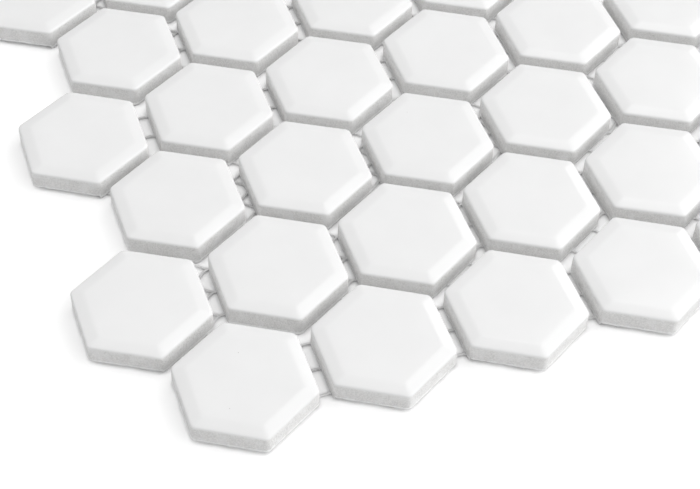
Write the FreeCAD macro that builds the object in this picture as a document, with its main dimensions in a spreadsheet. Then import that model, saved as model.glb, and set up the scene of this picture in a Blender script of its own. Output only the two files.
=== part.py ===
import FreeCAD, Part
import Sketcher
import math
import os

# A sheet of hexagon floor tile, as it is sold: glazed porcelain hexagons in staggered rows,
# held a joint's width apart by a backing net that they are glued to.
# Rows run along X and follow each other along Y. Every tile has two flats that face X.
# The origin is under the middle of the sheet, on the surface that it lies on.
# All lengths are in millimetres and all angles in degrees.

SIZES = (
    ("tile_width", 23.5, "tile across its flats"),
    ("tile_thickness", 4.4, "tile from its back to its face"),
    ("roll_width", 2.4, "rolled edge, measured across the face"),
    ("roll_drop", 0.75, "rolled edge, from the face down to the side"),
    ("joint_width", 2.5, "gap between neighbouring tiles"),
    ("columns", 10, "tiles in a row"),
    ("rows", 13, "rows in the sheet"),
    ("thread_width", 0.5, "flat thread of the net"),
    ("thread_thickness", 0.25, "flat thread of the net"),
    ("mesh_length", 13.0, "mesh of the net, from knot to knot along the rows"),
    ("mesh_height", 5.74, "mesh of the net, from knot to knot across the rows"),
    ("net_inset", 0.2, "net cut back behind the outer tile sides"),
)

PITCH = "(sizes.tile_width + sizes.joint_width)"
ROW_STEP = f"({PITCH} * sqrt(3) / 2)"
NET_THICKNESS = "(2 * sizes.thread_thickness)"
THREAD_SLANT = "atan(sizes.mesh_height / sizes.mesh_length)"
THREAD_SPACING = f"(sizes.mesh_height * cos({THREAD_SLANT}))"
FLATS = 6
UP = FreeCAD.Vector(0, 0, 1)


def vector(x, y):
    """A point of a flat outline."""
    return FreeCAD.Vector(x, y, 0)


def add_sizes(doc):
    """The spreadsheet of driving dimensions, one named cell each."""
    sheet = doc.addObject("Spreadsheet::Sheet", "sizes")
    for line, (name, value, meaning) in enumerate(SIZES, start=1):
        sheet.set(f"A{line}", name)
        sheet.set(f"B{line}", str(value))
        sheet.set(f"C{line}", meaning)
        sheet.setAlias(f"B{line}", name)
    doc.recompute()
    return sheet


def origin_feature(body, role):
    """One of the planes or axes of a body's own origin."""
    return next(item for item in body.Origin.OriginFeatures if item.Role == role)


def add_sketch(body, name, role):
    """An empty sketch on one of a body's own planes."""
    sketch = body.newObject("Sketcher::SketchObject", name)
    sketch.AttachmentSupport = [(origin_feature(body, role), "")]
    sketch.MapMode = "FlatFace"
    return sketch


def add_outline(sketch, points):
    """A closed run of straight lines through the points, joined at its corners."""
    count = len(points)
    for start, end in zip(points, points[1:] + points[:1]):
        sketch.addGeometry(Part.LineSegment(start, end), False)
    for line in range(count):
        sketch.addConstraint(Sketcher.Constraint("Coincident", line, 2, (line + 1) % count, 1))


def bind(sketch, name, constraint, expression):
    """A dimension of a sketch, named and tied to the sheet."""
    index = sketch.addConstraint(constraint)
    sketch.renameConstraint(index, name)
    sketch.setExpression(f"Constraints.{name}", expression)


def add_tile_outline(body, sheet):
    """A regular hexagon about the origin, with its first line on the +X side."""
    sketch = add_sketch(body, "tile_outline", "XY_Plane")
    flat = sheet.tile_width / 2
    radius = sheet.tile_width / math.sqrt(3)
    turns = [math.radians(360 / FLATS * (corner - 0.5)) for corner in range(FLATS)]
    add_outline(sketch, [vector(radius * math.cos(turn), radius * math.sin(turn)) for turn in turns])
    circle = sketch.addGeometry(Part.Circle(vector(0, 0), UP, radius), True)
    sketch.addConstraint(Sketcher.Constraint("Coincident", circle, 3, -1, 1))
    for line in range(FLATS):
        sketch.addConstraint(Sketcher.Constraint("PointOnObject", line, 1, circle))
    for line in range(1, FLATS):
        sketch.addConstraint(Sketcher.Constraint("Equal", 0, line))
    sketch.addConstraint(Sketcher.Constraint("Vertical", 0))
    bind(sketch, "half_width", Sketcher.Constraint("DistanceX", -1, 1, 0, 1, flat), "sizes.tile_width / 2")
    return sketch


def add_roll_profile(body, sheet):
    """What the rolled edge takes off the +X side: an arc that starts level with the face."""
    sketch = add_sketch(body, "roll_profile", "XZ_Plane")
    side = sheet.tile_width / 2
    face = sheet.tile_thickness
    width = sheet.roll_width
    drop = sheet.roll_drop
    radius = (width ** 2 + drop ** 2) / (2 * drop)
    sweep = math.asin(width / radius)
    corners = [
        vector(side, face - drop),
        vector(side + width, face - drop),
        vector(side + width, face + drop),
        vector(side - width, face + drop),
        vector(side - width, face),
    ]
    for start, end in zip(corners, corners[1:]):
        sketch.addGeometry(Part.LineSegment(start, end), False)
    circle = Part.Circle(vector(side - width, face - radius), UP, radius)
    arc = sketch.addGeometry(Part.ArcOfCircle(circle, math.pi / 2 - sweep, math.pi / 2), False)
    for line in range(3):
        sketch.addConstraint(Sketcher.Constraint("Coincident", line, 2, line + 1, 1))
    sketch.addConstraint(Sketcher.Constraint("Coincident", 3, 2, arc, 2))
    sketch.addConstraint(Sketcher.Constraint("Coincident", arc, 1, 0, 1))
    sketch.addConstraint(Sketcher.Constraint("Vertical", arc, 3, arc, 2))
    for line, direction in enumerate(("Horizontal", "Vertical", "Horizontal", "Vertical")):
        sketch.addConstraint(Sketcher.Constraint(direction, line))
    bind(sketch, "side", Sketcher.Constraint("DistanceX", -1, 1, 0, 1, side), "sizes.tile_width / 2")
    bind(sketch, "face", Sketcher.Constraint("DistanceY", -1, 1, 3, 2, face), "sizes.tile_thickness")
    bind(sketch, "width", Sketcher.Constraint("DistanceX", arc, 2, arc, 1, width), "sizes.roll_width")
    bind(sketch, "drop", Sketcher.Constraint("DistanceY", arc, 1, arc, 2, drop), "sizes.roll_drop")
    bind(sketch, "beyond", Sketcher.Constraint("DistanceX", 0, 1, 0, 2, width), "sizes.roll_width")
    bind(sketch, "above", Sketcher.Constraint("DistanceY", 3, 2, 3, 1, drop), "sizes.roll_drop")
    return sketch


def add_tile(doc, sheet):
    """One tile: a hexagon block, its face rolled down along all six edges."""
    body = doc.addObject("PartDesign::Body", "tile")
    block = body.newObject("PartDesign::Pad", "tile_block")
    block.Profile = add_tile_outline(body, sheet)
    block.setExpression("Length", "sizes.tile_thickness")
    doc.recompute()
    roll = body.newObject("PartDesign::Pocket", "edge_roll")
    roll.Profile = add_roll_profile(body, sheet)
    roll.Type = "ThroughAll"
    roll.SideType = "Symmetric"
    doc.recompute()
    if roll.Shape.Volume >= block.Shape.Volume:
        raise RuntimeError("the rolled edge cuts nothing")
    rolls = body.newObject("PartDesign::PolarPattern", "edge_rolls")
    rolls.Originals = [roll]
    rolls.Axis = (origin_feature(body, "Z_Axis"), [""])
    rolls.Angle = 360
    rolls.Occurrences = FLATS
    body.Tip = rolls
    doc.recompute()
    return body


def add_row(doc, tile, row):
    """A row of tiles on the net. Every second row is set half a pitch towards -X."""
    name = f"tile_row_{row + 1:02d}"
    body = doc.addObject("PartDesign::Body", name)
    body.Label = name
    body.AllowCompound = True
    body.BaseFeature = tile
    pattern = body.newObject("PartDesign::LinearPattern", f"{name}_pattern")
    pattern.TransformMode = "Whole shape"
    pattern.Direction = (origin_feature(body, "X_Axis"), [""])
    pattern.Mode = "Spacing"
    pattern.setExpression("Offset", PITCH)
    pattern.setExpression("Occurrences", "sizes.columns")
    body.Tip = pattern
    body.setExpression("Placement.Base.x", f"-(sizes.columns - 1.5 + {row % 2}) / 2 * {PITCH}")
    body.setExpression("Placement.Base.y", f"({row} - (sizes.rows - 1) / 2) * {ROW_STEP}")
    body.setExpression("Placement.Base.z", NET_THICKNESS)
    return body


def sheet_outline(sheet):
    """The zigzag edge of the sheet, half a joint outside the tiles, from corner to corner."""
    pitch = sheet.tile_width + sheet.joint_width
    point = pitch / math.sqrt(3)
    step = pitch * math.sqrt(3) / 2
    columns = int(sheet.columns)
    rows = int(sheet.rows)

    def centre(row, column):
        x = (column - (columns - 1.5 + row % 2) / 2) * pitch
        return x, (row - (rows - 1) / 2) * step

    points = []
    for column in range(columns):
        x, y = centre(0, column)
        points += [vector(x - pitch / 2, y - point / 2), vector(x, y - point)]
    for row in range(rows):
        x, y = centre(row, columns - 1)
        points += [vector(x + pitch / 2, y - point / 2), vector(x + pitch / 2, y + point / 2)]
    for column in reversed(range(columns)):
        x, y = centre(rows - 1, column)
        points += [vector(x, y + point), vector(x - pitch / 2, y + point / 2)]
    for row in reversed(range(1, rows)):
        x, y = centre(row, 0)
        points += [vector(x - pitch / 2, y - point / 2)]
        x, y = centre(row - 1, 0)
        points += [vector(x - pitch / 2, y + point / 2)]
    return points


def add_net_area(doc, sheet):
    """The cut shape of the net: the edge of the sheet, brought in behind the outer tile sides."""
    points = sheet_outline(sheet)
    edge = doc.addObject("Part::Feature", "sheet_edge")
    edge.Shape = Part.makePolygon(points + points[:1])
    cut = doc.addObject("Part::Offset2D", "net_edge")
    cut.Source = edge
    cut.Join = "Intersection"
    cut.setExpression("Value", "-(sizes.joint_width / 2 + sizes.net_inset)")
    area = doc.addObject("Part::Extrusion", "net_area")
    area.Base = cut
    area.DirMode = "Normal"
    area.Solid = True
    area.setExpression("LengthFwd", NET_THICKNESS)
    doc.recompute()
    return area


def add_net_layer(doc, sheet, area, name, side, level):
    """One layer of parallel flat threads, trimmed to the area of the net.

    The threads slant across the rows, to one side or the other, and cross those of the other
    layer at the knots of the mesh. A middle thread passes over the origin.
    """
    span = f"sqrt((sizes.columns * {PITCH})^2 + (sizes.rows * {PITCH})^2)"
    beside = f"ceil({span} / 2 / {THREAD_SPACING})"
    field = doc.addObject("PartDesign::Body", f"{name}_field")
    field.AllowCompound = True
    sketch = add_sketch(field, f"{name}_outline", "XY_Plane")
    reach = sheet.mesh_length
    width = sheet.thread_width
    add_outline(sketch, [
        vector(-reach, -width),
        vector(reach, -width),
        vector(reach, 0),
        vector(-reach, 0),
    ])
    for line, direction in enumerate(("Horizontal", "Vertical", "Horizontal", "Vertical")):
        sketch.addConstraint(Sketcher.Constraint(direction, line))
    bind(sketch, "width", Sketcher.Constraint("DistanceY", 1, 1, 1, 2, width), "sizes.thread_width")
    bind(sketch, "length", Sketcher.Constraint("DistanceX", 0, 1, 0, 2, 2 * reach), span)
    bind(sketch, "start", Sketcher.Constraint("DistanceX", 0, 1, -1, 1, reach), f"{span} / 2")
    bind(sketch, "first", Sketcher.Constraint("DistanceY", 0, 1, -1, 1, width),
         f"{beside} * {THREAD_SPACING} + sizes.thread_width / 2")
    thread = field.newObject("PartDesign::Pad", f"{name}_thread")
    thread.Profile = sketch
    thread.setExpression("Length", "sizes.thread_thickness")
    doc.recompute()
    threads = field.newObject("PartDesign::LinearPattern", f"{name}_pattern")
    threads.Originals = [thread]
    threads.Direction = (origin_feature(field, "Y_Axis"), [""])
    threads.Mode = "Spacing"
    threads.setExpression("Offset", THREAD_SPACING)
    threads.setExpression("Occurrences", f"2 * {beside} + 1")
    field.Tip = threads
    slant = math.degrees(math.atan(sheet.mesh_height / sheet.mesh_length))
    field.Placement.Rotation = FreeCAD.Rotation(FreeCAD.Vector(0, 0, side), slant)
    field.setExpression("Placement.Rotation.Angle", THREAD_SLANT)
    field.setExpression("Placement.Base.z", f"{level} * sizes.thread_thickness")
    layer = doc.addObject("Part::Common", name)
    layer.Label = name
    layer.Base = field
    layer.Tool = area
    return layer


def check(doc, pieces):
    """Stops if any object of the document failed or any piece is not sound."""
    for item in doc.Objects:
        if "Invalid" in item.State or "Error" in item.State:
            raise RuntimeError(f"{item.Label} failed: {item.State}")
    for piece in pieces:
        if piece.Shape.isNull() or not piece.Shape.isValid():
            raise RuntimeError(f"{piece.Label} is not sound")


def main():
    doc = FreeCAD.newDocument("hexagon_tile_sheet")
    sheet = add_sizes(doc)
    tile = add_tile(doc, sheet)
    pieces = [add_row(doc, tile, row) for row in range(int(sheet.rows))]
    area = add_net_area(doc, sheet)
    pieces.append(add_net_layer(doc, sheet, area, "net_warp_threads", 1, 0))
    pieces.append(add_net_layer(doc, sheet, area, "net_weft_threads", -1, 1))
    doc.recompute()
    check(doc, pieces)
    os.makedirs("parts", exist_ok=True)
    for piece in pieces:
        piece.Shape.exportStep(f"parts/{piece.Label}.step")
        box = piece.Shape.BoundBox
        print(f"{piece.Label}: {len(piece.Shape.Solids)} solids, "
              f"x {box.XMin:.2f} to {box.XMax:.2f}, y {box.YMin:.2f} to {box.YMax:.2f}, "
              f"z {box.ZMin:.2f} to {box.ZMax:.2f}, volume {piece.Shape.Volume:.1f}")


main()
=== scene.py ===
import math

import bpy
import numpy as np
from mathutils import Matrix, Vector


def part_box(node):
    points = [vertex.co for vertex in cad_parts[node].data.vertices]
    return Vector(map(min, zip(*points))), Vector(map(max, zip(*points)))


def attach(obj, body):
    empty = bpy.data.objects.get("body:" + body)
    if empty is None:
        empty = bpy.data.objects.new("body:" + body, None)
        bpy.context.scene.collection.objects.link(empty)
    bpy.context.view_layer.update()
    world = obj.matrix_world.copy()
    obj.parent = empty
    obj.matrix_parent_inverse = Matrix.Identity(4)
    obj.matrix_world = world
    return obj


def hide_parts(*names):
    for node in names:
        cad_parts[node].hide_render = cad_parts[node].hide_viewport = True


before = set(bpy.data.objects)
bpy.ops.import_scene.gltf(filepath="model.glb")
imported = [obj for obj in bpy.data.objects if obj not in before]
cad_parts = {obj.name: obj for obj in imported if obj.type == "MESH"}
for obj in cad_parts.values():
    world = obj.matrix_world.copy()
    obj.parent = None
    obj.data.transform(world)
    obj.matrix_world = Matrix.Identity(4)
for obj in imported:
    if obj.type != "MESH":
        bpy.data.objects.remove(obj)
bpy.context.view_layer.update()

# Lengths are in metres. The sheet lies on the floor, its rows run along X, and +Z is up.
MM = 0.001
BODY = "root"
SEED = 23

# Sizes of the sheet, read from its rows of tiles.
ROW_NODES = sorted(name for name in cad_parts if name.startswith("tile_row_"))
FIRST_LOW, FIRST_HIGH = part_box(ROW_NODES[0])
SECOND_LOW, SECOND_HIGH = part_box(ROW_NODES[1])
PITCH = 2 * (FIRST_LOW.x - SECOND_LOW.x)
ROW_STEP = (SECOND_LOW.y + SECOND_HIGH.y - FIRST_LOW.y - FIRST_HIGH.y) / 2
ROWS = len(ROW_NODES)
COLUMNS = round((FIRST_HIGH.x - FIRST_LOW.x) / PITCH)
TILE_WIDTH = FIRST_HIGH.x - FIRST_LOW.x - (COLUMNS - 1) * PITCH
TILE_FACE = FIRST_HIGH.z
TILE_BACK = FIRST_LOW.z
TILE_HEIGHT = TILE_FACE - TILE_BACK
JOINT = PITCH - TILE_WIDTH

# The face and its rolled edge. The roll bends down from the face over the share ROLL_BEND of its width, and
# goes on straight to the rim, which is rounded from the slope RIM_START down to the upright side.
INNER_FACE = 0.55
INNER_CORNER = 0.1
FACE_CORNER = 0.5 * MM
ROLL_WIDTH = 2.85 * MM
ROLL_DROP = 0.45 * MM
ROLL_BEND = 0.32
ROLL_RINGS = 7
RIM_CORNER = 1.25 * MM
RIM_ROUND = 0.5 * MM
RIM_START = math.radians(25)
ROUND_RINGS = 4
FLAT_STEPS = 16
CORNER_STEPS = 5

# The bare side, which waves a little at the share SIDE_MIDDLE of the height of the tile.
SIDE_MIDDLE = 0.6
SIDE_WAVE = 0.03 * MM
SIDE_WAVES = 24

# The glue between the net and the backs of the tiles, and how high above the floor the glaze ends,
# short of where the side is upright.
GLUE_BED = 0.2 * MM
GLAZE_SHORT = 0.1 * MM
GLAZE_END = TILE_FACE + GLUE_BED - ROLL_DROP - RIM_ROUND * math.cos(RIM_START) + GLAZE_SHORT

# The foot of a tile. On the open sides it ends in a ragged bead of glue above the floor. In the joints the
# glue fills it down to the floor, apart from slits. Behind it the back dips, and leaves a hollow.
FOOT_LIFT = 0.78 * MM
FOOT_RAGGED = 0.1 * MM
FOOT_WIDTH = 0.9 * MM
FOOT_DIP = 0.3 * MM
FOOT_HOLLOW = 0.2 * MM
BEAD = 0.12 * MM
BEAD_LEAST = 0.2
BEAD_TOP = 0.35 * MM
BEAD_MIDDLE = 0.08 * MM
BEAD_TUCK = 0.1 * MM
SLIT = 0.22 * MM
SLIT_WAVES = 7
SINK = 0.02 * MM

# How far the tiles stray from their places on the net. By row and column, three at the left edge have slipped
# by these millimetres.
STRAY_SHIFT = 0.1 * MM
STRAY_TURN = math.radians(0.4)
STRAY_TILT = math.radians(0.12)
STRAYED = {(0, 0): (-0.3, -0.29), (1, 0): (-0.1, -0.23), (3, 0): (-0.25, -0.43)}

# The backing net: knitted threads that run together at the knots and part between them.
# One of its knots lies in the first joint of the front row.
MESH_LENGTH = 13.0 * MM
MESH_HEIGHT = 5.74 * MM
KNOT_FLAT = 1.8 * MM
KNOT_SPOT = np.array((-97.29, -134.26)) * MM
NET_LEAN = 0.09
NET_INSET = 0.2 * MM
NET_SLACK = 0.3 * MM
SLACK_ALONG = {"length": 9 * MM, "phase": 1}
SLACK_ACROSS = {"length": 11 * MM, "phase": 4}
THREAD_WIDTH = 0.5 * MM
THREAD_THICKNESS = 0.2 * MM
THREAD_LEVEL = 0.18 * MM
THREAD_ARCH = 0.16 * MM
THREAD_CROSSING = 0.05 * MM
STEP_IN_JOINT = 0.35 * MM
STEP_UNDER_TILE = 1.75 * MM

# The threads reach past the sheet and are cut to it: how far each one runs past its first knot, the share of
# that by which it starts before the knot, and the lines of threads from the lowest to one past the highest.
THREAD_REACH = COLUMNS * PITCH * 1.2
THREAD_LEAD = 0.1
LOW_LINE = -2 * COLUMNS
HIGH_LINE = math.ceil(1.6 * ROWS * ROW_STEP / MESH_HEIGHT)

# The numbers of the materials in a row of tiles, and the bands between the rings of a tile, counted from its
# back, that are coated with glue on the open sides.
GLAZED, BARE, GLUED = range(3)
GLUED_BANDS = slice(-4, -1)

# The looks of the surfaces. Greys and roughness go from 0 to 1, and a pair is the least and the most.
NOISE_RANGE = (0.3, 0.7)
GLAZE_GREYS = (0.845, 0.865)
GLAZE_EDGE_GREY = 0.855
GLAZE_ROUGHNESS = (0.15, 0.2)
GLAZE_EDGE_ROUGHNESS = 0.25
GLAZE_RELIEF = 0.004 * MM
GLAZE_LAP = 0.015 * MM
LAP_WAVE = 0.16 * MM
PINHOLE_CELL = 5 * MM
PINHOLE_EDGE = (0.012, 0.022)
PINHOLE_RARITY = 0.93
PINHOLE_DEPTH = 3
# The pinholes are painted this darker grey: painted shade in them.
PINHOLE_SHADE_GREY = 0.5
PINHOLE_SHADE_WARMTH = 0.02
BODY_GREYS = (0.71, 0.88)
BODY_WARMTH = 0.004
BODY_ROUGHNESS = 0.85
BODY_RELIEF = 0.045 * MM
PIT_RANGE = (0.68, 0.8)
# The pits are painted darker, by this share towards the grey below: painted shade in them.
PIT_SHADE_SHARE = 0.5
PIT_DEPTH = 1.5
PIT_SHADE_GREY = 0.58
PIT_SHADE_WARMTH = 0.01
SMEAR_RANGE = (0.5, 0.62)
SMEAR_SHARE = 0.5
SMEAR_GREY = 0.88
SMEAR_ROUGHNESS = 0.6
GLUE_LINE = 1.2 * MM
JOINT_GLUE_LINE = 0.8 * MM
GLUE_EDGE = 0.03 * MM
GLUE_RAGGED = 0.6 * MM
GLUE_GREY = 0.99
THREAD_GREYS = (0.9, 0.95)
THREAD_ROUGHNESS = (0.35, 0.5)
THREAD_RELIEF = 0.01 * MM
FLOOR_GREY = 0.78
FLOOR_ROUGHNESS = 0.9
FLOOR_SIZE = 12

# The camera stands where the photograph was taken from.
CAMERA_SPOT = Vector((-152.23, -296.47, 235.29)) * MM
CAMERA_AIM = Vector((-82.76, -111.93, 4.5)) * MM
CAMERA_ROLL = math.radians(1.366)
CAMERA_LENS = 82.66
CAMERA_SENSOR = 36.0

# The light: a white surround that is dimmer in front, large soft boxes at the right, at the front right and
# at the left, and a small one overhead. The floor that the camera sees is lifted by some light of its own,
# which ambient occlusion dims within LIFT_REACH of the sheet: a painted shade around and under the sheet.
SURROUND = 0.373
FRONT = (-0.34, -0.94, 0.0)
FRONT_DIM = 0.5
FRONT_START = 0.2
FRONT_END = 0.8
FLOOR_LIFT = 0.4
LIFT_REACH = 0.95 * MM
BOXES = {
    "right_box": {"turn": 8, "rise": 38, "reach": 1.25, "size": (1.4, 0.8), "power": 6.6},
    "front_right_box": {"turn": -46, "rise": 38, "reach": 1.25, "size": (2.0, 1.3), "power": 12.0},
    "overhead_box": {"turn": 24, "rise": 66, "reach": 1.25, "size": (0.6, 0.5), "power": 1.35},
    "left_fill": {"turn": 172, "rise": 42, "reach": 1.5, "size": (2.0, 0.7), "power": 6.5},
}


class Wire:
    """The output of a node. Arithmetic on it adds Math nodes."""

    def __init__(self, graph, socket):
        self.graph = graph
        self.socket = socket

    def math(self, operation, *values):
        inputs = dict(enumerate((self, *values)))
        return self.graph.node("ShaderNodeMath", {"operation": operation}, inputs)

    def __add__(self, other):
        return self.math("ADD", other)

    def __radd__(self, other):
        return self.math("ADD", other)

    def __mul__(self, other):
        return self.math("MULTIPLY", other)

    def __rmul__(self, other):
        return self.math("MULTIPLY", other)

    def __sub__(self, other):
        return self.math("SUBTRACT", other)

    def __rsub__(self, other):
        return self * -1 + other

    def __gt__(self, other):
        return self.math("GREATER_THAN", other)


class Graph:
    """The nodes of a material or of the world, and ways to add to them."""

    def __init__(self, tree, coordinates):
        self.nodes = tree.nodes
        self.links = tree.links
        self.place = self.node("ShaderNodeTexCoord", output=coordinates)

    def node(self, kind, settings=None, inputs=None, output=0):
        """Adds a node, with its settings and the values or wires of its inputs, and gives one output."""
        made = self.nodes.new(kind)
        for name, value in (settings or {}).items():
            setattr(made, name, value)
        for socket, value in (inputs or {}).items():
            if isinstance(value, Wire):
                self.connect(value, made, socket)
            else:
                made.inputs[socket].default_value = value
        return Wire(self, made.outputs[output])

    def connect(self, wire, node, socket):
        self.links.new(wire.socket, node.inputs[socket])

    def noise(self, size, detail=2.0, roughness=0.5):
        """Soft noise from 0 to 1, whose lumps are about as wide as size."""
        inputs = {"Vector": self.place, "Scale": 1 / size, "Detail": detail, "Roughness": roughness}
        return self.node("ShaderNodeTexNoise", inputs=inputs)

    def ramp(self, wire, span, ends=(0.0, 1.0), smooth=False):
        """Goes from one end to the other as wire goes over its span, and stays level outside."""
        settings = {"interpolation_type": "SMOOTHSTEP" if smooth else "LINEAR"}
        inputs = {"Value": wire, "From Min": span[0], "From Max": span[1],
                  "To Min": ends[0], "To Max": ends[1]}
        return self.node("ShaderNodeMapRange", settings, inputs)

    def mix(self, mask, low, high):
        """A colour that goes from low to high as mask goes from 0 to 1."""
        settings = {"data_type": "RGBA"}
        return self.node("ShaderNodeMix", settings, {0: mask, 6: low, 7: high}, output=2)


class Finish(Graph):
    """A material: its Principled shader and the nodes that feed it."""

    def __init__(self, name, **constants):
        self.material = bpy.data.materials.new(name)
        self.material.use_nodes = True
        super().__init__(self.material.node_tree, "Object")
        self.shader = self.nodes["Principled BSDF"]
        for socket, value in constants.items():
            self.shader.inputs[socket.replace("_", " ")].default_value = value

    def feed(self, socket, wire):
        self.connect(wire, self.shader, socket)

    def bump(self, height, depth):
        """Feeds the normal with a relief that is depth metres deep where height goes from 0 to 1."""
        relief = self.node("ShaderNodeBump", inputs={"Height": height, "Distance": depth})
        self.feed("Normal", relief)


def grey(level, warmth=0.0):
    """A neutral colour, or one that is a little warmer."""
    return (level * (1 + warmth), level, level * (1 - 2 * warmth), 1.0)


def glaze_finish():
    """White satin glaze with a faint orange peel, slight clouding and a few pinholes painted darker as
    painted shade.
    """
    finish = Finish("white_glaze", IOR=1.5)
    clouds = finish.ramp(finish.noise(9 * MM, detail=3), NOISE_RANGE)
    tone = finish.mix(clouds, grey(GLAZE_GREYS[0]), grey(GLAZE_GREYS[1]))
    cells = {"Vector": finish.place, "Scale": 1 / PINHOLE_CELL}
    distance = finish.node("ShaderNodeTexVoronoi", inputs=cells, output="Distance")
    chance = finish.node("ShaderNodeTexVoronoi", inputs=cells, output="Color")
    rare = finish.node("ShaderNodeSeparateColor", inputs={0: chance}) > PINHOLE_RARITY
    pinhole = finish.ramp(distance, PINHOLE_EDGE, (1.0, 0.0)) * rare
    # Painted shade: the pinholes are coloured darker, as shade in them.
    finish.feed("Base Color", finish.mix(pinhole, tone, grey(PINHOLE_SHADE_GREY, PINHOLE_SHADE_WARMTH)))
    finish.feed("Roughness", finish.ramp(finish.noise(3 * MM), NOISE_RANGE, GLAZE_ROUGHNESS))
    finish.bump(finish.noise(2.2 * MM, detail=1) - pinhole * PINHOLE_DEPTH, GLAZE_RELIEF)
    return finish.material


def body_finish(name, glue_line):
    """Bare pressed porcelain: matt and fine-grained, with small pits painted darker as painted shade, and
    pale smears of glue.

    Below the glue line it is coated with white glue, and above the side it is glazed.
    """
    finish = Finish(name, IOR=1.45)
    grain = finish.ramp(finish.noise(0.32 * MM, detail=2, roughness=0.6), NOISE_RANGE)
    pits = finish.ramp(finish.noise(0.5 * MM, detail=1), PIT_RANGE)
    smear = finish.ramp(finish.noise(2.6 * MM, detail=4), SMEAR_RANGE)
    bare = finish.mix(grain, grey(BODY_GREYS[0], BODY_WARMTH), grey(BODY_GREYS[1], BODY_WARMTH))
    # Painted shade: the pits are coloured darker, as shade in them.
    pit_shaded = finish.mix(pits * PIT_SHADE_SHARE, bare, grey(PIT_SHADE_GREY, PIT_SHADE_WARMTH))
    smeared = finish.mix(smear * SMEAR_SHARE, pit_shaded, grey(SMEAR_GREY))
    height = finish.node("ShaderNodeSeparateXYZ", inputs={0: finish.place}, output="Z")
    ragged = height + (finish.noise(0.6 * MM, detail=3) - 0.5) * GLUE_RAGGED
    glue = finish.ramp(ragged, (glue_line - GLUE_EDGE, glue_line + GLUE_EDGE), (1.0, 0.0))
    glued = finish.mix(glue, smeared, grey(GLUE_GREY))
    wavy = height + (finish.noise(1.6 * MM) - 0.5) * LAP_WAVE
    lap = finish.ramp(wavy, (GLAZE_END - GLAZE_LAP, GLAZE_END + GLAZE_LAP))
    finish.feed("Base Color", finish.mix(lap, glued, grey(GLAZE_EDGE_GREY)))
    matt = finish.ramp(smear, (0.0, 1.0), (BODY_ROUGHNESS, SMEAR_ROUGHNESS))
    finish.feed("Roughness", matt * (1 - lap) + lap * GLAZE_EDGE_ROUGHNESS)
    finish.bump((grain - pits * PIT_DEPTH) * (1 - lap), BODY_RELIEF)
    return finish.material


def thread_finish():
    """Coated glass-fibre thread: pale, slightly shiny, with fine ribs of its fibres."""
    finish = Finish("net_thread", IOR=1.5)
    fibres = finish.noise(0.12 * MM, detail=2)
    tone = finish.mix(finish.ramp(fibres, NOISE_RANGE), grey(THREAD_GREYS[0]), grey(THREAD_GREYS[1]))
    finish.feed("Base Color", tone)
    finish.feed("Roughness", finish.ramp(fibres, NOISE_RANGE, THREAD_ROUGHNESS))
    finish.bump(fibres, THREAD_RELIEF)
    return finish.material


def floor_finish():
    """White paper: where the camera sees it, some light of its own lifts it, dimmed near the sheet by ambient
    occlusion as painted shade.
    """
    finish = Finish("white_floor", Base_Color=grey(FLOOR_GREY), Roughness=FLOOR_ROUGHNESS)
    seen = finish.node("ShaderNodeLightPath", output="Is Camera Ray")
    for ray in ("Is Glossy Ray", "Is Transmission Ray"):
        seen = seen.math("MAXIMUM", finish.node("ShaderNodeLightPath", output=ray))
    near = {"Distance": LIFT_REACH}
    # Painted shade: ambient occlusion dims the floor's own light near the sheet, painting its contact shadow.
    openness = finish.node("ShaderNodeAmbientOcclusion", {"samples": 8}, near, output="AO")
    glow_with_painted_shade = finish.mix(seen * openness * openness, grey(0.0), grey(1.0))
    white = finish.node("ShaderNodeEmission", inputs={"Color": glow_with_painted_shade, "Strength": FLOOR_LIFT})
    paper = Wire(finish, finish.shader.outputs["BSDF"])
    both = finish.node("ShaderNodeAddShader", inputs={0: paper, 1: white})
    finish.connect(both, finish.nodes["Material Output"], "Surface")
    return finish.material


def join_mesh(name, blocks, materials):
    """One mesh object from blocks of (points, quads, material numbers)."""
    points, faces, finishes, offset = [], [], [], 0
    for block_points, block_faces, block_finishes in blocks:
        used, block_faces = np.unique(block_faces, return_inverse=True)
        points.append(block_points[used])
        faces.append(block_faces.reshape(-1, 4) + offset)
        finishes.append(block_finishes)
        offset += len(used)
    points = np.concatenate(points)
    faces = np.concatenate(faces)
    finishes = np.concatenate(finishes)
    mesh = bpy.data.meshes.new(name)
    mesh.vertices.add(len(points))
    mesh.vertices.foreach_set("co", points.astype(np.float32).ravel())
    mesh.loops.add(faces.size)
    mesh.loops.foreach_set("vertex_index", faces.astype(np.int32).ravel())
    mesh.polygons.add(len(faces))
    mesh.polygons.foreach_set("loop_start", np.arange(0, faces.size, 4, dtype=np.int32))
    mesh.update(calc_edges=True)
    for material in materials:
        mesh.materials.append(material)
    mesh.polygons.foreach_set("material_index", finishes.astype(np.int32))
    mesh.polygons.foreach_set("use_smooth", np.ones(len(faces), dtype=bool))
    mesh.validate()
    piece = bpy.data.objects.new(name, mesh)
    bpy.context.scene.collection.objects.link(piece)
    return piece


def middle_column(row):
    """The number of the column, with its fraction, in the middle of the sheet: odd rows lie further left."""
    return (COLUMNS - 1.5 + row % 2) / 2


def tile_centre(row, column):
    """The place of a tile in the staggered rows."""
    x = (column - middle_column(row)) * PITCH
    y = (row - (ROWS - 1) / 2) * ROW_STEP
    return np.stack((x, y), axis=-1)


def nearest_tile(points):
    """The nearest tile's row, column and centre for each point of the sheet."""
    best = None
    guess = np.rint(points[:, 1] / ROW_STEP + (ROWS - 1) / 2).astype(int)
    for shift in (-1, 0, 1):
        row = guess + shift
        column = np.rint(points[:, 0] / PITCH + middle_column(row)).astype(int)
        centre = tile_centre(row, column)
        distance = np.linalg.norm(points - centre, axis=1)
        if best is None:
            best = [row, column, centre, distance]
        else:
            closer = distance < best[3]
            for old, new in zip(best, (row, column, centre, distance)):
                old[closer] = new[closer]
    return best[:3]


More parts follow.
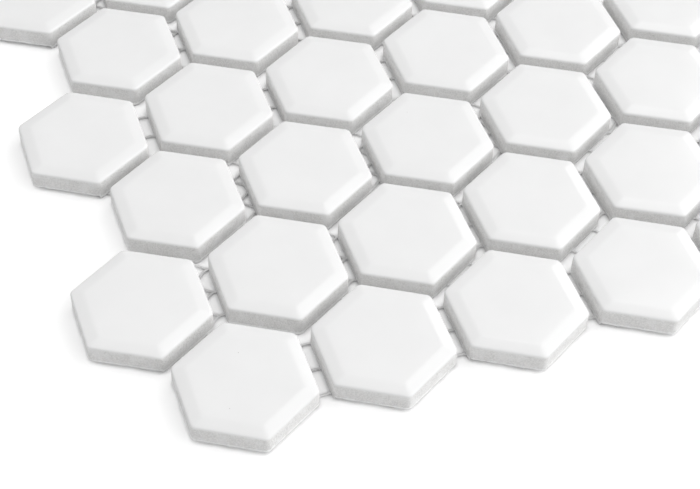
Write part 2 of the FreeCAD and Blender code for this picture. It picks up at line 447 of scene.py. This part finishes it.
def on_sheet(points):
    """Whether each point lies in the cell of a tile of the sheet."""
    row, column, _ = nearest_tile(points)
    return (row >= 0) & (row < ROWS) & (column >= 0) & (column < COLUMNS)


def on_net(points):
    """Whether each point lies on the net, which stops short of the outer tile sides."""
    margin = JOINT / 2 + NET_INSET
    inside = on_sheet(points)
    for turn in np.radians(np.arange(0, 360, 30)):
        inside &= on_sheet(points + margin * np.array((math.cos(turn), math.sin(turn))))
    return inside


def hexagon_reach(offsets):
    """How far out a point lies across the flats of a tile whose centre is at the origin."""
    turns = np.radians((0, 60, 120))
    normals = np.stack((np.cos(turns), np.sin(turns)))
    return np.abs(offsets @ normals).max(axis=1)


def joint_depth(points):
    """How far each point lies from the nearest tile side, as a share of half a joint."""
    _, _, centre = nearest_tile(points)
    out = hexagon_reach(points - centre) - TILE_WIDTH / 2
    return np.clip(out / (JOINT / 2), 0, 1)


def corner_centre(half_width, corner, turn):
    """The centre of the round of a hexagon's corner that lies at turn."""
    return (half_width - corner) / math.cos(math.pi / 6) * np.array((math.cos(turn), math.sin(turn)))


def hexagon_ring(half_width, corner):
    """A hexagon with rounded corners, as points and their outward directions."""
    points, outward = [], []
    for side in range(6):
        turn = math.radians(30 + 60 * side)
        turns = turn + np.linspace(-math.pi / 6, math.pi / 6, CORNER_STEPS + 1)
        directions = np.stack((np.cos(turns), np.sin(turns)), axis=1)
        arc = corner_centre(half_width, corner, turn) + corner * directions
        end = corner_centre(half_width, corner, turn + math.pi / 3) + corner * directions[-1]
        shares = np.arange(1, FLAT_STEPS)[:, None] / FLAT_STEPS
        points += [arc, arc[-1] + (end - arc[-1]) * shares]
        outward += [directions, np.repeat(directions[-1:], FLAT_STEPS - 1, axis=0)]
    return np.concatenate(points), np.concatenate(outward)


def around_noise(random, count, waves, lowest=2):
    """A smooth random wave around a closed ring, from about -1 to 1."""
    turn = np.linspace(0, 2 * math.pi, count, endpoint=False)
    numbers = np.arange(lowest, lowest + waves)
    phases = random.uniform(0, 2 * math.pi, waves)
    sizes = random.uniform(0.4, 1.0, waves)
    return (np.sin(np.outer(turn, numbers) + phases) * sizes).sum(axis=1) / math.sqrt(waves)


def cap_quads(start, count):
    """Quads that close a ring of count points, in strips across it."""
    here = np.arange(count // 2 - 1)
    return start + np.stack((here, here + 1, count - 2 - here, count - 1 - here), axis=-1)


def ring_quads(rings, count):
    """Quads between rings of count points each, one ring after another."""
    start = np.arange(rings - 1)[:, None] * count
    here = np.arange(count)[None, :]
    after = (here + 1) % count
    quads = np.stack((start + here, start + after, start + count + after, start + count + here), axis=-1)
    return quads.reshape(-1, 4)


def roll_fall(share):
    """The share of its drop that the rolled edge has fallen at a share of its width."""
    bent = min(share, ROLL_BEND) ** 2 / (2 * ROLL_BEND)
    return (bent + max(share - ROLL_BEND, 0)) / (1 - ROLL_BEND / 2)


def tile_rings(random, is_open):
    """The rings of a tile, from the middle of its face over the rim and down to its foot and back.

    Each is its points, their heights above the back, and whether the ring is glazed.
    """
    half = TILE_WIDTH / 2
    face_half = half - ROLL_WIDTH
    edge = half - RIM_ROUND * (1 - math.sin(RIM_START))
    count = len(is_open)
    rings = []

    def add(half_width, corner, height, is_glazed=False, swell=0.0):
        """Adds a ring whose points are moved outward by swell."""
        points, outward = hexagon_ring(half_width, corner)
        points += outward * np.full(count, swell)[:, None]
        rings.append((points, np.full(count, height), is_glazed))

    add(INNER_FACE * face_half, INNER_CORNER * face_half, TILE_HEIGHT, True)
    for step in range(ROLL_RINGS + 1):
        share = step / ROLL_RINGS
        corner = FACE_CORNER + (RIM_CORNER - FACE_CORNER) * share
        add(face_half + (edge - face_half) * share, corner, TILE_HEIGHT - ROLL_DROP * roll_fall(share), True)
    for step in range(1, ROUND_RINGS + 1):
        turn = RIM_START + (math.pi / 2 - RIM_START) * step / ROUND_RINGS
        out = RIM_ROUND * (math.sin(turn) - math.sin(RIM_START))
        down = RIM_ROUND * (math.cos(RIM_START) - math.cos(turn))
        add(edge + out, RIM_CORNER, TILE_HEIGHT - ROLL_DROP - down, step < ROUND_RINGS - 1)
    wave = SIDE_WAVE * around_noise(random, count, SIDE_WAVES)
    add(half, RIM_CORNER, SIDE_MIDDLE * TILE_HEIGHT, swell=wave)

    floor = -(TILE_BACK + GLUE_BED)
    ragged = FOOT_LIFT + FOOT_RAGGED * random.uniform(-1, 1, count)
    filled = SINK + SLIT * np.clip(around_noise(random, count, SLIT_WAVES, lowest=1), 0, 1)
    foot = floor + np.where(is_open, ragged, filled)
    bead = np.where(is_open, BEAD * random.uniform(BEAD_LEAST, 1, count), 0)
    add(half, RIM_CORNER, foot + BEAD_TOP)
    add(half, RIM_CORNER, foot + BEAD_MIDDLE, swell=bead)
    add(half - BEAD_TUCK, RIM_CORNER, foot)
    add(half - FOOT_WIDTH, RIM_CORNER, np.maximum(foot - FOOT_DIP, floor + FOOT_HOLLOW))
    return rings


def tile_block(random, row, column):
    """The points, quads and material numbers of one tile, a little astray from its place on the net."""
    centre = tile_centre(row, column)
    around, outward = hexagon_ring(TILE_WIDTH / 2, RIM_CORNER)
    is_open = ~on_sheet(centre + around + outward * JOINT)
    rings = tile_rings(random, is_open)
    count = len(is_open)
    flat = np.concatenate([points for points, _, _ in rings])
    heights = np.concatenate([height for _, height, _ in rings])
    turn = random.normal() * STRAY_TURN
    shift = random.normal(size=2) * STRAY_SHIFT
    if (row, column) in STRAYED:
        shift = np.array(STRAYED[row, column]) * MM
    tilt = random.normal(size=2) * STRAY_TILT
    spun = flat @ np.array(((math.cos(turn), math.sin(turn)), (-math.sin(turn), math.cos(turn))))
    level = np.maximum(heights + spun @ tilt + TILE_BACK + GLUE_BED, 0)
    points = np.column_stack((spun + centre + shift, level))
    face = cap_quads(0, count)
    back = cap_quads((len(rings) - 1) * count, count)
    quads = np.concatenate((face, ring_quads(len(rings), count)[:, ::-1], back[:, ::-1]))
    bands = np.array([[GLAZED if is_glazed else BARE] * count for _, _, is_glazed in rings[1:]])
    bands[GLUED_BANDS, is_open] = GLUED
    finishes = np.concatenate((np.full(len(face), GLAZED), bands.ravel(), np.full(len(back), BARE)))
    return points, quads, finishes


def add_tiles():
    """One piece for each row of tiles."""
    random = np.random.default_rng(SEED)
    materials = (glaze_finish(), body_finish("bare_porcelain", JOINT_GLUE_LINE),
                 body_finish("glued_porcelain", GLUE_LINE))
    for row, node in enumerate(ROW_NODES):
        blocks = [tile_block(random, row, column) for column in range(COLUMNS)]
        piece = join_mesh(node.replace("tile_row", "glazed_tiles_row"), blocks, materials)
        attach(piece, BODY)
        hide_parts(node)


def waves(points, length, phase):
    """A smooth wave over the sheet, from -1 to 1."""
    x, y = points[:, 0] / length, points[:, 1] / length
    return (np.sin(x + 1.7 * y + phase) + np.sin(2.3 * x - 0.8 * y + 2 * phase)
            + np.sin(0.6 * x - 2.9 * y + 3 * phase)) / 3


def on_sheet_plane(u, v):
    """The places on the sheet of points of the net's own pattern, whose origin is a knot."""
    points = np.column_stack((u + NET_LEAN * v, v)) + KNOT_SPOT
    return points + NET_SLACK * np.column_stack((waves(points, **SLACK_ALONG), waves(points, **SLACK_ACROSS)))


def thread_rise(u):
    """How far a thread has climbed at u: level at the knots, and half a mesh from each to the next."""
    half_length, half_height = MESH_LENGTH / 2, MESH_HEIGHT / 2
    knot = np.rint(u / half_length)
    beside = u - knot * half_length
    bend = np.clip((np.abs(beside) - KNOT_FLAT / 2) / (half_length - KNOT_FLAT), 0, 1)
    return half_height * (knot + np.sign(beside) * (1 - np.cos(math.pi * bend)) / 2)


def ribbon_block(centre):
    """A flat thread along its centre line: a rounded section, closed at both ends."""
    along = np.gradient(centre[:, :2], axis=0)
    along /= np.linalg.norm(along, axis=1)[:, None]
    side = np.column_stack((-along[:, 1], along[:, 0], np.zeros(len(along)))) * THREAD_WIDTH / 2
    up = np.array((0, 0, THREAD_THICKNESS / 2))
    section = ((-1, 0), (-0.6, -0.8), (0.6, -0.8), (1, 0), (0.6, 0.8), (-0.6, 0.8))
    rings = np.stack([centre + side * across + up * above for across, above in section], axis=1)
    points = rings.reshape(-1, 3)
    tip = np.array(((0, 1, 2, 3), (0, 3, 4, 5)))
    last = len(points) - len(section)
    quads = np.concatenate((ring_quads(len(rings), len(section)), tip[:, ::-1], tip + last))
    return points, quads, np.zeros(len(quads))


def thread_blocks(line, side):
    """One thread of the net as blocks of mesh, one for each run between the edges of the net."""
    u = np.arange(-THREAD_LEAD * THREAD_REACH, THREAD_REACH, STEP_IN_JOINT)
    v = line * MESH_HEIGHT + side * thread_rise(u)
    flat = on_sheet_plane(u, v)
    kept = on_net(flat)
    depth = joint_depth(flat)
    over = side * np.cos(2 * math.pi * u / MESH_LENGTH)
    height = THREAD_LEVEL + THREAD_ARCH * np.sin(depth * math.pi / 2) + THREAD_CROSSING * over
    coarse = round(STEP_UNDER_TILE / STEP_IN_JOINT)
    near_joint = np.convolve(depth > 0, np.ones(3), mode="same") > 0
    wanted = kept & (near_joint | (np.arange(len(u)) % coarse == 0))
    runs = np.split(np.arange(len(u)), np.flatnonzero(np.diff(kept.astype(int)) != 0) + 1)
    blocks = []
    for run in runs:
        chosen = run[wanted[run]]
        if kept[run[0]] and len(chosen) > 1:
            blocks.append(ribbon_block(np.column_stack((flat[chosen], height[chosen]))))
    return blocks


def add_net_layer(node, name, side, material):
    """All threads of the net that climb to one side, as one piece."""
    blocks = [block for line in range(LOW_LINE, HIGH_LINE) for block in thread_blocks(line, side)]
    piece = join_mesh(name, blocks, [material])
    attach(piece, BODY)
    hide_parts(node)


def add_net():
    """The net: one layer of threads climbs to the right, and the other to the left."""
    thread = thread_finish()
    add_net_layer("net_warp_threads", "warp_threads", 1, thread)
    add_net_layer("net_weft_threads", "weft_threads", -1, thread)


def add_floor():
    """The floor that the sheet lies on."""
    bpy.ops.mesh.primitive_plane_add(size=FLOOR_SIZE, location=(0, 0, -SINK))
    floor = bpy.context.object
    floor.name = "floor"
    floor.data.materials.append(floor_finish())


def add_soft_box(name, turn, rise, reach, size, power):
    """A soft box that faces the middle of the sheet, its turn and rise in degrees."""
    light = bpy.data.lights.new(name, "AREA")
    light.shape = "RECTANGLE"
    light.size, light.size_y = size
    light.energy = power
    box = bpy.data.objects.new(name, light)
    turn, rise = math.radians(turn), math.radians(rise)
    flat = math.cos(rise)
    box.location = Vector((math.cos(turn) * flat, math.sin(turn) * flat, math.sin(rise))) * reach
    box.rotation_euler = box.location.to_track_quat("Z", "Y").to_euler()
    bpy.context.scene.collection.objects.link(box)


def add_surround():
    """A white surround, dimmer in front, behind the camera."""
    world = bpy.data.worlds.new("surround")
    world.use_nodes = True
    graph = Graph(world.node_tree, "Generated")
    dot_product = {"operation": "DOT_PRODUCT"}
    ahead = graph.node("ShaderNodeVectorMath", dot_product, {0: graph.place, 1: FRONT}, output="Value")
    dimmed = graph.ramp(ahead, (FRONT_START, FRONT_END), smooth=True)
    background = graph.nodes["Background"]
    background.inputs["Strength"].default_value = SURROUND
    graph.connect(graph.mix(dimmed, grey(1.0), grey(1 - FRONT_DIM)), background, "Color")
    bpy.context.scene.world = world


def add_camera():
    """The camera, where the photograph was taken from."""
    camera = bpy.data.cameras.new("camera")
    camera.sensor_width = CAMERA_SENSOR
    camera.lens = CAMERA_LENS
    camera.clip_start = 0.01
    camera.clip_end = 50
    holder = bpy.data.objects.new("camera", camera)
    holder.location = CAMERA_SPOT
    turn = (CAMERA_AIM - CAMERA_SPOT).to_track_quat("-Z", "Y").to_matrix().to_4x4()
    holder.rotation_euler = turn.to_euler()
    holder.rotation_euler.rotate_axis("Z", CAMERA_ROLL)
    bpy.context.scene.collection.objects.link(holder)
    bpy.context.scene.camera = holder


bpy.context.scene.view_settings.view_transform = "Standard"
add_camera()
add_tiles()
add_net()
add_floor()
for box_name, box_shape in BOXES.items():
    add_soft_box(box_name, **box_shape)
add_surround()
